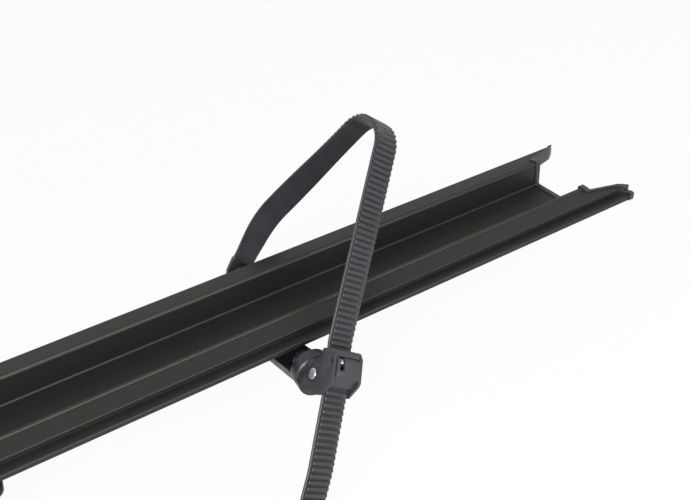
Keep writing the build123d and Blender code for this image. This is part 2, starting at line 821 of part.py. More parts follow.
def holding_pawl():
    """The forked pawl that keeps the strap from running back, with its release tab."""
    tip_n = strap_thick / 2 + fit_gap
    blade = outline([
        (pawl_tip_s, tip_n, 0),
        (pawl_pin_s, pawl_pin_n - pawl_hub, 0),
        (pawl_pin_s + pawl_hub / 2, pawl_pin_n - pawl_hub, 0),
        (pawl_tab_s, pawl_pin_n - pawl_hub / 2, 0),
        (pawl_tab_s, pawl_pin_n, 0),
        (pawl_pin_s, pawl_pin_n + pawl_hub, 0),
        (pawl_tip_s, tip_n + pawl_hub / 2, 0),
    ])
    shape = blade + disc(pawl_pin_s, pawl_pin_n, pawl_hub)
    pawl = across(shape, -pawl_half, pawl_half)
    notch = outline([
        (pawl_tip_s - overrun, 0, 0),
        (pawl_tip_s - overrun, lever_top, 0),
        (pawl_pin_s, lever_top, 0),
        (pawl_pin_s, 0, 0),
    ])
    pawl -= across(notch, -pawl_notch_half, pawl_notch_half)
    bore = pawl_pin_radius + run_clear
    return pawl - buckle_pin((pawl_pin_s, pawl_pin_n), bore, -pawl_half * 2, pawl_half * 2)


def strap_set(foot_x, side):
    """One wheel's strap set: what stays on the tray, and what swivels with the strap.

    The loop leans towards its own end of the tray: side is 1 at the tail and -1 at the front.
    """
    x = foot_x + side * axis_shift
    turn = Pos(foot_x, 0, loop_z) * Rot(0, side * set_tilt, 0)
    pieces = {
        "crossarm": crossarm(x, side),
        "crossarm_t_nut": t_nut(x, tnut_length, m8_radius),
        "crossarm_bolt": crossarm_bolt(x),
        "swivel_stud": swivel_stud(x),
        "strap_anchor_screw": anchor_screw(x),
    }
    turning = {
        "swivel_knuckle": swivel_knuckle(side),
        "buckle_rivet": buckle_rivet(),
        "ladder_strap": ladder_strap(side),
        "buckle_frame": buckle_frame(),
        "ratchet_lever": ratchet_lever(),
        "lever_pin": cross_pin((lever_pin_s, lever_pin_n), lever_pin_radius, pin_recess),
        "lever_spring": lever_spring(),
        "holding_pawl": holding_pawl(),
        "pawl_pin": cross_pin((pawl_pin_s, pawl_pin_n), pawl_pin_radius, cheek_thick / 2),
    }
    for name, piece in turning.items():
        pieces[name] = turn * piece
    return pieces


def arm_base():
    """The plate under the tray that carries the upright arm between two lugs."""
    top = under_tray_z - face_gap
    low = top - base_thick
    half = base_length / 2
    base = block((-half, -base_near, low), (half, base_reach, top))
    lug_starts = (lug_gap_start - lug_thick, lug_gap_end)
    for start in lug_starts:
        ear = rod(lug_half, (0, start, pivot_z), (0, start + lug_thick, pivot_z))
        ear += block((-lug_half, start, low), (lug_half, start + lug_thick, pivot_z))
        base += ear
    outer = base_reach + overrun
    base -= rod(m10_radius + run_clear, (0, lug_starts[0] - overrun, pivot_z), (0, outer, pivot_z))
    for offset in (-base_bolt_offset, base_bolt_offset):
        hole = (offset, 0)
        base -= rod(m8_radius + run_clear, (*hole, low - overrun), (*hole, top + overrun))
    return Pos(arm_x, 0, 0) * base


def arm_base_bolts():
    """The two screws that clamp the arm's base to the tray."""
    seat = under_tray_z - face_gap - base_thick
    tip = nut_seat_z + face_gap + tnut_height
    bolts = []
    for offset in (-base_bolt_offset, base_bolt_offset):
        place = (arm_x + offset, 0)
        bolts.append(socket_screw(m8_radius, m8_head, m8_head_high, (*place, seat), (*place, tip)))
    return Compound(children=bolts)


def arm_base_nut():
    """The long T nut for both of the base's screws."""
    length = base_bolt_offset * 2 + tnut_length
    half = slot_inner_half - fit_gap * 2
    low = nut_seat_z + face_gap
    nut = block(
        (arm_x - length / 2, -half, low),
        (arm_x + length / 2, half, low + tnut_height),
    )
    for offset in (-base_bolt_offset, base_bolt_offset):
        hole = (arm_x + offset, 0)
        bore = m8_radius + run_clear
        nut -= rod(bore, (*hole, low - overrun), (*hole, low + tnut_height + overrun))
    return nut


def arm_pivot_bolt():
    """The hexagon bolt through the lugs and the arm's foot."""
    start = lug_gap_start - lug_thick
    end = lug_gap_end + lug_thick
    head = (arm_x, start - face_gap - m10_head_high, pivot_z)
    seat = (arm_x, start - face_gap, pivot_z)
    tip = (arm_x, end + face_gap + m10_nut_high + edge_soft, pivot_z)
    return rod(m10_radius, seat, tip) + hex_bar(m10_flats, head, seat)


def arm_pivot_nut():
    """The lock nut of the pivot bolt."""
    start = (arm_x, lug_gap_end + lug_thick + face_gap, pivot_z)
    end = (arm_x, start[1] + m10_nut_high, pivot_z)
    nut = hex_bar(m10_flats, start, end)
    bore = (arm_x, start[1] - overrun, pivot_z), (arm_x, end[1] + overrun, pivot_z)
    return nut - rod(m10_radius + run_clear, *bore)


def arm_middle_y():
    """The arm's middle plane, halfway between the lugs."""
    return (lug_gap_start + lug_gap_end) / 2


def arm_foot():
    """The moulded foot that turns between the lugs and holds the tube in its socket."""
    low = lug_gap_start + fit_gap
    high = lug_gap_end - fit_gap
    foot = rod(foot_half, (0, low, pivot_z), (0, high, pivot_z))
    foot += block((-foot_half, low, pivot_z), (foot_half, high, pivot_z + foot_socket))
    middle = arm_middle_y()
    collar = tube_radius + edge_soft * 2
    foot += rod(collar, (0, middle, pivot_z + foot_socket), (0, middle, pivot_z + foot_height))
    bore = tube_radius + run_clear
    bottom = pivot_z + foot_socket + edge_soft
    foot -= rod(bore, (0, middle, bottom), (0, middle, pivot_z + foot_height + overrun))
    hole = m10_radius + run_clear
    foot -= rod(hole, (0, low - overrun, pivot_z), (0, high + overrun, pivot_z))
    return Pos(arm_x, 0, 0) * foot


def arm_tube():
    """The bent tube from the foot up and over to the clamp."""
    middle = arm_middle_y()
    start = (arm_x, middle, pivot_z + foot_socket + edge_soft + face_gap)
    corner = (arm_x, middle, grip_z)
    end = (arm_x, body_far - tube_radius, grip_z)
    path = FilletPolyline(start, corner, end, radius=arm_bend())
    ring = Circle(tube_radius) - Circle(tube_radius - tube_wall)
    return sweep(Plane(origin=start, z_dir=(0, 0, 1)) * ring, path=path)


def arm_bend():
    """The radius of the tube's bend, kept inside its level run."""
    return min(tube_bend, arm_middle_y() - body_far)


def clamp_body():
    """The clamp's body with the fixed lower jaw, the guide slot and the tube's socket."""
    z = grip_z
    body = block((-body_half, body_near, z - body_low), (body_half, body_far, z + body_high))
    body = fillet(body.edges().filter_by(Axis.X), edge_soft * 2)
    jaw_top = z - jaw_open + pad_rubber
    seat = jaw_top - pad_rubber
    jaw = block((-jaw_half, -jaw_reach, seat - jaw_thick), (jaw_half, body_near + edge_soft, seat))
    jaw += block(
        (-jaw_half, -jaw_reach, seat - jaw_thick),
        (jaw_half, -jaw_reach + jaw_thick / 2, seat + jaw_hook),
    )
    body += jaw
    collar = tube_radius + edge_soft * 2
    body += rod(collar, (0, body_far - edge_soft, z), (0, arm_middle_y() - arm_bend(), z))
    bore = tube_radius + run_clear
    inside = body_far - tube_radius - face_gap
    body -= rod(bore, (0, inside, z), (0, arm_middle_y(), z))
    body -= block(
        (-guide_half - fit_gap, body_near - overrun, z - jaw_open + edge_soft),
        (guide_half + fit_gap, guide_start + guide_depth, z + body_high - edge_soft * 3),
    )
    screw = (0, guide_start)
    blind = z - jaw_open - edge_soft - face_gap
    body -= rod(screw_radius + run_clear, (*screw, blind), (*screw, z + body_high + overrun))
    lock = (body_near + body_far) / 2 + edge_soft
    lock_z = z - body_low / 2
    body -= rod(
        lock_radius + run_clear,
        (body_half - lock_depth, lock, lock_z),
        (body_half + overrun, lock, lock_z),
    )
    return Pos(arm_x, 0, 0) * body


def moving_jaw():
    """The upper jaw, whose block slides in the body's guide slot on the screw."""
    z = grip_z
    seat = z + jaw_open - jaw_thick
    slide = block(
        (-guide_half, body_near - edge_soft, seat - jaw_thick),
        (guide_half, guide_start + guide_depth - fit_gap, seat + jaw_thick),
    )
    jaw = block((-jaw_half, -jaw_reach, seat), (jaw_half, body_near - fit_gap, seat + jaw_thick))
    jaw += block(
        (-jaw_half, -jaw_reach, seat - jaw_hook),
        (jaw_half, -jaw_reach + jaw_thick / 2, seat + jaw_thick),
    )
    jaw += slide
    screw = (0, guide_start)
    bore = screw_radius + run_clear
    jaw -= rod(bore, (*screw, z - jaw_open), (*screw, z + body_high))
    return Pos(arm_x, 0, 0) * jaw


def jaw_pad(level, way):
    """A rubber pad on one jaw's gripping face."""
    low, high = sorted((level, level + way * pad_rubber))
    near = -jaw_reach + jaw_thick / 2 + fit_gap
    far = body_near - edge_soft - fit_gap
    pad = block((-jaw_half, near, low), (jaw_half, far, high))
    face = pad.faces().sort_by(Axis.Z)[-1 if way > 0 else 0]
    pad = chamfer(face.edges().filter_by(Axis.X), pad_rubber / 3)
    return Pos(arm_x, 0, 0) * pad


def clamp_screw():
    """The threaded spindle that draws the upper jaw down."""
    place = (arm_x, guide_start)
    low = grip_z - jaw_open - edge_soft
    return rod(screw_radius, (*place, low), (*place, grip_z + screw_top))


def clamp_knob():
    """The lobed hand knob on top of the spindle."""
    low = grip_z + body_high + face_gap
    spin = (arm_x, guide_start)
    knob = rod(knob_radius, (*spin, low + knob_seat), (*spin, low + knob_high))
    knob += rod(knob_radius / 2, (*spin, low), (*spin, low + knob_seat))
    for lobe in range(knob_lobes):
        angle = 2 * math.pi * lobe / knob_lobes
        reach = knob_radius + knob_lobe_radius / 3
        place = (spin[0] + reach * math.cos(angle), spin[1] + reach * math.sin(angle))
        knob -= rod(knob_lobe_radius, (*place, low - overrun), (*place, low + knob_high + overrun))
    top = knob.faces().sort_by(Axis.Z)[-1]
    knob = chamfer(top.outer_wire().edges(), edge_soft / 2)
    bore = screw_radius + run_clear
    return knob - rod(bore, (*spin, low - overrun), (*spin, grip_z + screw_top + face_gap))


def lock_cylinder():
    """The lock that keeps the clamp shut, with its plain key slot."""
    y = (body_near + body_far) / 2 + edge_soft
    z = grip_z - body_low / 2
    low = body_half - lock_depth + face_gap
    lock = rod(lock_radius, (low, y, z), (body_half + lock_proud, y, z))
    half = key_slot_width / 2
    lock -= block(
        (body_half - lock_depth / 2, y - half, z - key_slot_long / 2),
        (body_half + lock_proud + overrun, y + half, z + key_slot_long / 2),
    )
    return Pos(arm_x, 0, 0) * lock


def carrier():
    """Every piece of the carrier by name."""
    pieces = {
        "tray_extrusion": tray_extrusion(),
        "tail_end_cap": end_cap(1),
        "front_end_cap": end_cap(-1),
        "end_cap_screws": cap_screws(),
        "arm_base": arm_base(),
        "arm_base_bolts": arm_base_bolts(),
        "arm_base_t_nut": arm_base_nut(),
        "arm_pivot_bolt": arm_pivot_bolt(),
        "arm_pivot_nut": arm_pivot_nut(),
        "arm_foot": arm_foot(),
        "arm_tube": arm_tube(),
        "clamp_body": clamp_body(),
        "clamp_moving_jaw": moving_jaw(),
        "clamp_lower_pad": jaw_pad(grip_z - jaw_open, 1),
        "clamp_upper_pad": jaw_pad(grip_z + jaw_open - jaw_thick, -1),
        "clamp_screw": clamp_screw(),
        "clamp_knob": clamp_knob(),
        "clamp_lock_cylinder": lock_cylinder(),
    }
    for end, x in (("front", 0), ("rear", bar_spacing)):
        for name, piece in saddle(x).items():
            pieces[f"{end}_{name}"] = piece
    for end, foot_x, side in (("front", front_set_x, -1), ("rear", rear_set_x, 1)):
        for name, piece in strap_set(foot_x, side).items():
            pieces[f"{end}_{name}"] = piece
    return pieces


os.makedirs("parts", exist_ok=True)
for node, shape in carrier().items():
    export_step(shape, f"parts/{node}.step")
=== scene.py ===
"""Roof mounted bike carrier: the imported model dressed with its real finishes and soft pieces.

Sizes are fields in millimetres and become metres where a mesh is made. +X runs along the
tray to its tail, -Y is the buckle side and +Z is up.
"""

import logging
import math
from dataclasses import dataclass, field
from enum import Enum
from typing import Iterable, Sequence

import bmesh
import bpy
from mathutils import Matrix, Vector

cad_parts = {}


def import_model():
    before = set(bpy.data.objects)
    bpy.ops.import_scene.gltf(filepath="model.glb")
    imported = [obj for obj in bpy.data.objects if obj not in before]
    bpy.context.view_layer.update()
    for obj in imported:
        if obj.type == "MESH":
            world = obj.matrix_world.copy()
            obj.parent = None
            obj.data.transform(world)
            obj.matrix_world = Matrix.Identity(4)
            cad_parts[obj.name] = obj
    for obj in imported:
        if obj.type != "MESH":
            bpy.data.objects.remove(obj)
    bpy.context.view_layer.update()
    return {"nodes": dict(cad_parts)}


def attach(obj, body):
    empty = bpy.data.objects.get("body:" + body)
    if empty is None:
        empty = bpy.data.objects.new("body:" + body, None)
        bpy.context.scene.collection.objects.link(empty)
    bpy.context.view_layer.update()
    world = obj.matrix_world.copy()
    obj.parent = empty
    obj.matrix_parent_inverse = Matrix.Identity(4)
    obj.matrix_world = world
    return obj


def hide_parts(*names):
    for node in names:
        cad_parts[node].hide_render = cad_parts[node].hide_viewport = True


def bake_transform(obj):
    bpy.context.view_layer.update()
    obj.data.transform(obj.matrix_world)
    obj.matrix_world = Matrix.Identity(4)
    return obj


MM = 0.001

# Where the middle of each strap loop's foot stands along the tray, in millimetres
REAR_SET_X = 907.4
FRONT_SET_X = 407.6

# How a rounded copy is cleaned and which of its edges are sharp, in millimetres and degrees
WELD = 0.002
FLAT_ANGLE = 1.0
SHARP_ANGLE = 32.0
SMOOTH_ANGLE = 40.0

LOG = logging.getLogger("bike_carrier")

Point = tuple[float, float, float]


def linear(hex_colour: str) -> tuple[float, float, float, float]:
    """Turn an sRGB hex colour into Blender's linear colour.

    Args:
        hex_colour: The colour as "#rrggbb".

    Returns:
        Red, green, blue and an alpha of one.
    """
    parts = [int(hex_colour[i : i + 2], 16) / 255 for i in (1, 3, 5)]
    flat = [p / 12.92 if p <= 0.04045 else ((p + 0.055) / 1.055) ** 2.4 for p in parts]
    return (flat[0], flat[1], flat[2], 1.0)


def add_node(
    tree: bpy.types.NodeTree,
    kind: str,
    settings: dict | None = None,
    links: dict | None = None,
) -> bpy.types.Node:
    """Add one node with its settings and links.

    Args:
        tree: The node tree.
        kind: The node's type name.
        settings: Attributes by name, and input values by input name or number.
        links: Output sockets by the name or number of the input that they feed.

    Returns:
        The new node.
    """
    node = tree.nodes.new(kind)
    for key, value in (settings or {}).items():
        if isinstance(key, str) and hasattr(node, key):
            setattr(node, key, value)
        else:
            node.inputs[key].default_value = value
    for key, socket in (links or {}).items():
        tree.links.new(socket, node.inputs[key])
    return node


class Grain(Enum):
    """How a surface was made, which sets the direction of its fine relief."""

    DRAWN = (0.004, 1.0, 1.0)
    EVEN = (1.0, 1.0, 1.0)
    TURNED = (1.0, 0.06, 1.0)


@dataclass(frozen=True)
class Finish:
    """One real finish: what it is made of and how its surface was made.

    Lengths are in millimetres: grain is the size of the fine relief, depth its height,
    patch the size of the slow changes in tone, and edge the rounding of sharp corners.
    """

    name: str
    colour: str
    worn: str
    roughness: tuple[float, float]
    grain: float
    depth: float
    patch: float
    edge: float = 0.3
    metallic: float = 0.0
    ior: float = 1.5
    lay: Grain = Grain.EVEN
    sheen: float = 0.0
    gloss: float = 0.5

    def material(self) -> bpy.types.Material:
        """Build the material once and give it back each time it is asked for.

        Returns:
            The material.
        """
        made = bpy.data.materials.get(self.name)
        if made is not None:
            return made
        made = bpy.data.materials.new(self.name)
        made.use_nodes = True
        tree = made.node_tree
        tree.nodes.clear()
        place = add_node(tree, "ShaderNodeTexCoord").outputs["Object"]
        laid = add_node(
            tree, "ShaderNodeMapping", {"Scale": self.lay.value}, {"Vector": place}
        ).outputs["Vector"]
        fine = add_node(
            tree,
            "ShaderNodeTexNoise",
            {"Scale": 1 / (self.grain * MM), "Detail": 3.0, "Roughness": 0.6},
            {"Vector": laid},
        ).outputs["Fac"]
        slow = add_node(
            tree,
            "ShaderNodeTexNoise",
            {"Scale": 1 / (self.patch * MM), "Detail": 2.0},
            {"Vector": laid},
        ).outputs["Fac"]
        tone = add_node(
            tree,
            "ShaderNodeMix",
            {"data_type": "RGBA", 6: linear(self.colour), 7: linear(self.worn)},
            {0: slow},
        ).outputs[2]
        both = add_node(
            tree, "ShaderNodeMath", {"operation": "MULTIPLY"}, {0: fine, 1: slow}
        ).outputs[0]
        rough = add_node(
            tree,
            "ShaderNodeMapRange",
            {
                "From Min": 0.1,
                "From Max": 0.45,
                "To Min": self.roughness[0],
                "To Max": self.roughness[1],
            },
            {"Value": both},
        ).outputs["Result"]
        rounded = add_node(
            tree, "ShaderNodeBevel", {"samples": 4, "Radius": self.edge * MM}
        ).outputs["Normal"]
        relief = add_node(
            tree,
            "ShaderNodeBump",
            {"Strength": 1.0, "Distance": self.depth * MM},
            {"Height": fine, "Normal": rounded},
        ).outputs["Normal"]
        skin = add_node(
            tree,
            "ShaderNodeBsdfPrincipled",
            {
                "Metallic": self.metallic,
                "IOR": self.ior,
                "Specular IOR Level": self.gloss,
                "Sheen Weight": self.sheen,
            },
            {"Base Color": tone, "Roughness": rough, "Normal": relief},
        ).outputs["BSDF"]
        add_node(tree, "ShaderNodeOutputMaterial", links={"Surface": skin})
        return made


# Black anodised aluminium, extruded: the metal still shines through its dyed oxide, so it is
# dark and satin, with faint lines along the tray that smear every reflection lengthways.
ANODISED = Finish(
    name="satin_black_anodising",
    colour="#343331",
    worn="#3b3a37",
    roughness=(0.46, 0.58),
    grain=0.5,
    depth=0.006,
    patch=14.0,
    edge=0.35,
    metallic=0.75,
    lay=Grain.DRAWN,
    gloss=0.2,
)

# Black powder coat on cast aluminium: a soft orange-peel skin with broad, dull highlights.
POWDER_COAT = Finish(
    name="black_powder_coat",
    colour="#161617",
    worn="#1c1c1e",
    roughness=(0.42, 0.55),
    grain=0.9,
    depth=0.03,
    patch=18.0,
    edge=0.8,
)

# Glass-filled nylon 6, injection moulded in a spark-eroded tool: bluish black, slightly
# glossy, with a grain of about a quarter millimetre drawn a little coarser to show.
NYLON = Finish(
    name="moulded_glass_filled_nylon",
    colour="#17191d",
    worn="#202329",
    roughness=(0.34, 0.5),
    grain=0.35,
    depth=0.015,
    patch=9.0,
    edge=0.5,
    ior=1.53,
)

# Smoother nylon of the buckle, a shade lighter and greyer than the arm's.
BUCKLE_NYLON = Finish(
    name="moulded_buckle_nylon",
    colour="#222428",
    worn="#2a2c31",
    roughness=(0.4, 0.55),
    grain=0.4,
    depth=0.012,
    patch=11.0,
    edge=0.5,
    ior=1.53,
)

# Thermoplastic polyurethane, moulded: cool dark grey with a silky sheen on every rib.
TPU = Finish(
    name="moulded_tpu",
    colour="#1d1e21",
    worn="#26282c",
    roughness=(0.36, 0.5),
    grain=0.5,
    depth=0.012,
    patch=16.0,
    edge=0.2,
    sheen=0.1,
)

# EPDM rubber, vulcanised: matt and very dark, with a dusty bloom in patches.
RUBBER = Finish(
    name="vulcanised_epdm_rubber",
    colour="#131313",
    worn="#1f1f1f",
    roughness=(0.72, 0.88),
    grain=0.6,
    depth=0.03,
    patch=12.0,
    edge=0.6,
    sheen=0.15,
)

# Stainless steel, turned: bright and neutral with fine circular tool marks.
STAINLESS = Finish(
    name="turned_stainless_steel",
    colour="#b9b8b4",
    worn="#a3a29e",
    roughness=(0.22, 0.36),
    grain=0.25,
    depth=0.008,
    patch=3.0,
    edge=0.4,
    metallic=1.0,
    lay=Grain.TURNED,
)

# Zinc plated steel: cooler and cloudier than stainless, from the passivation bath.
ZINC = Finish(
    name="passivated_zinc_plate",
    colour="#9aa0a4",
    worn="#7f878c",
    roughness=(0.28, 0.45),
    grain=0.4,
    depth=0.01,
    patch=4.0,
    edge=0.3,
    metallic=1.0,
)

# Blackened steel of the buckle's pins: a thin black oxide, oiled, so it only glints.
BLACK_STEEL = Finish(
    name="blackened_steel",
    colour="#2b2b2c",
    worn="#3a3a3b",
    roughness=(0.3, 0.45),
    grain=0.3,
    depth=0.006,
    patch=3.0,
    edge=0.3,
    metallic=0.8,
)


def dress(node: bpy.types.Object, finish: Finish) -> None:
    """Give a carried-over CAD node its finish, on every material slot it has.

    Args:
        node: The CAD node's object.
        finish: The finish.
    """
    material = finish.material()
    if not node.data.materials:
        node.data.materials.append(material)
    for index in range(len(node.data.materials)):
        node.data.materials[index] = material


def make_piece(
    name: str,
    points: Iterable[Sequence[float]],
    faces: Iterable[Sequence[int]],
    finish: Finish,
    crease: float = 35.0,
) -> bpy.types.Object:
    """Make a piece from points in metres and faces.

    Args:
        name: The piece's name.
        points: Its vertices.
        faces: Its faces as vertex numbers.
        finish: Its finish.
        crease: The angle in degrees above which an edge stays sharp.

    Returns:
        The new object, already in the scene.
    """
    mesh = bpy.data.meshes.new(name)
    mesh.from_pydata([tuple(p) for p in points], [], [tuple(f) for f in faces])
    work = bmesh.new()
    work.from_mesh(mesh)
    bmesh.ops.recalc_face_normals(work, faces=work.faces)
    work.to_mesh(mesh)
    work.free()
    return finish_piece(name, mesh, finish, crease)


def join_rings(
    count: int, size: int, first: int = 0, looped: bool = False
) -> list[tuple[int, ...]]:
    """Join rings of points, in their order, into a closed skin.

    Args:
        count: The number of rings.
        size: The number of points in each ring.
        first: The number of the first ring's first point.
        looped: True where the last ring joins the first, else both ends are capped.

    Returns:
        The faces as vertex numbers.
    """
    faces: list[tuple[int, ...]] = []
    for ring in range(count if looped else count - 1):
        a, b = first + ring * size, first + (ring + 1) % count * size
        for step in range(size):
            nxt = (step + 1) % size
            faces.append((a + step, a + nxt, b + nxt, b + step))
    if not looped:
        last = first + (count - 1) * size
        faces += [tuple(range(first, first + size)), tuple(range(last, last + size))]
    return faces


def finish_piece(
    name: str, mesh: bpy.types.Mesh, finish: Finish, crease: float
) -> bpy.types.Object:
    """Put a mesh in the scene with smooth shading, sharp creases and its finish.

    Args:
        name: The piece's name.
        mesh: Its mesh.
        finish: Its finish.
        crease: The angle in degrees above which an edge stays sharp.

    Returns:
        The new object.
    """
    mesh.polygons.foreach_set("use_smooth", [True] * len(mesh.polygons))
    mesh.set_sharp_from_angle(angle=math.radians(crease))
    mesh.materials.clear()
    mesh.materials.append(finish.material())
    piece = bpy.data.objects.new(name, mesh)
    bpy.context.scene.collection.objects.link(piece)
    return piece


def rounded_copy(
    node: bpy.types.Object, name: str, finish: Finish, radius: float, steps: int = 2
) -> bpy.types.Object:
    """Copy a CAD node's shape with its sharp edges rounded.

    Args:
        node: The CAD node's object, which stays as it is.
        name: The copy's name.
        finish: The copy's finish.
        radius: The rounding in millimetres.
        steps: The number of faces across the rounding.

    Returns:
        The rounded piece.
    """
    mesh = node.data.copy()
    work = bmesh.new()
    work.from_mesh(mesh)
    bmesh.ops.remove_doubles(work, verts=work.verts, dist=WELD * MM)
    bmesh.ops.dissolve_limit(
        work, angle_limit=math.radians(FLAT_ANGLE), verts=work.verts, edges=work.edges
    )
    work.to_mesh(mesh)
    work.free()
    mesh.materials.clear()
    draft = bpy.data.objects.new(name + "_draft", mesh)
    bpy.context.scene.collection.objects.link(draft)
    bevel = draft.modifiers.new("rounding", "BEVEL")
    bevel.width = radius * MM
    bevel.segments = steps
    bevel.limit_method = "ANGLE"
    bevel.angle_limit = math.radians(SHARP_ANGLE)
    bevel.miter_outer = "MITER_ARC"
    bpy.context.view_layer.update()
    graph = bpy.context.evaluated_depsgraph_get()
    shaped = bpy.data.meshes.new_from_object(draft.evaluated_get(graph))
    bpy.data.objects.remove(draft)
    return finish_piece(name, shaped, finish, SMOOTH_ANGLE)


@dataclass
class Carrier:
    """What every sub-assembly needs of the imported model."""

    nodes: dict[str, bpy.types.Object]
    reported: list[str] = field(default_factory=list)

    def dress_nodes(self, finish: Finish, *names: str) -> None:
        """Dress carried-over CAD nodes and report them.

        Args:
            finish: Their finish.
            names: The nodes' names.
        """
        for name in names:
            dress(self.nodes[name], finish)
            self.report(name, finish)

    def stand_for(
        self, piece: bpy.types.Object, node: str, body: str, slot: str
    ) -> None:
        """Let a piece replace a CAD node on its body and report it.

        Args:
            piece: The visual piece.
            node: The CAD node that it stands for.
            body: The body that it rides on.
            slot: The record's material slot; not used.
        """
        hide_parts(node)
        if body:
            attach(piece, body)
        LOG.info("%s replaces %s", piece.name, node)
        self.reported.append(piece.name)

    def round_node(
        self, node: str, body: str, slot: str, finish: Finish, radius: float
    ) -> None:
        """Replace a CAD node by its own shape with rounded edges.

        Args:
            node: The CAD node's name.
            body: The body that it rides on.
            slot: The record's material slot; passed on, but not used.
            finish: Its finish.
            radius: The rounding in millimetres.
        """
        piece = rounded_copy(self.nodes[node], node + "_shaped", finish, radius)
        self.stand_for(piece, node, body, slot)

    def report(self, name: str, finish: Finish) -> None:
        """Log one dressed node."""
        LOG.info("%s is dressed in %s", name, finish.name)
        self.reported.append(name)


@dataclass
class Route:
    """A middle line of straight runs and arcs in the plane of a strap loop."""

    corners: tuple[tuple[float, float, float], ...]

    def __post_init__(self) -> None:
        """Work out the runs and arcs from the corners and their radii."""
        spots = [Vector((y, z)) for y, z, _ in self.corners]
        self.runs: list[tuple[float, Vector, Vector, Vector | None, float]] = []
        self.length = 0.0
        here = spots[0]
        for index in range(1, len(spots)):
            corner = spots[index]
            before = (corner - spots[index - 1]).normalized()
            if index == len(spots) - 1:
                self._run(here, corner)
                break
            after = (spots[index + 1] - corner).normalized()
            turn = before.angle(after)
            radius = self.corners[index][2]
            back = radius * math.tan(turn / 2)
            start, end = corner - before * back, corner + after * back
            self._run(here, start)
            side = 1.0 if before.x * after.y - before.y * after.x > 0 else -1.0
            centre = start + Vector((-before.y, before.x)) * side * radius
            self.runs.append((self.length, start, before, centre, side * radius))
            self.length += turn * radius
            here = end

    def _run(self, start: Vector, end: Vector) -> None:
        """Add one straight run."""
        self.runs.append((self.length, start, (end - start).normalized(), None, 0.0))
        self.length += (end - start).length

    def at(self, along: float) -> tuple[Vector, Vector]:
        """Find a place on the line.

        Args:
            along: The distance from the start.

        Returns:
            The place and the unit direction there.
        """
        chosen = self.runs[0]
        for run in self.runs:
            if run[0] <= along:
                chosen = run
        begin, start, way, centre, radius = chosen
        travelled = along - begin
        if centre is None:
            return start + way * travelled, way
        angle = travelled / radius
        turned = Matrix.Rotation(angle, 2)
        return centre + turned @ (start - centre), turned @ way


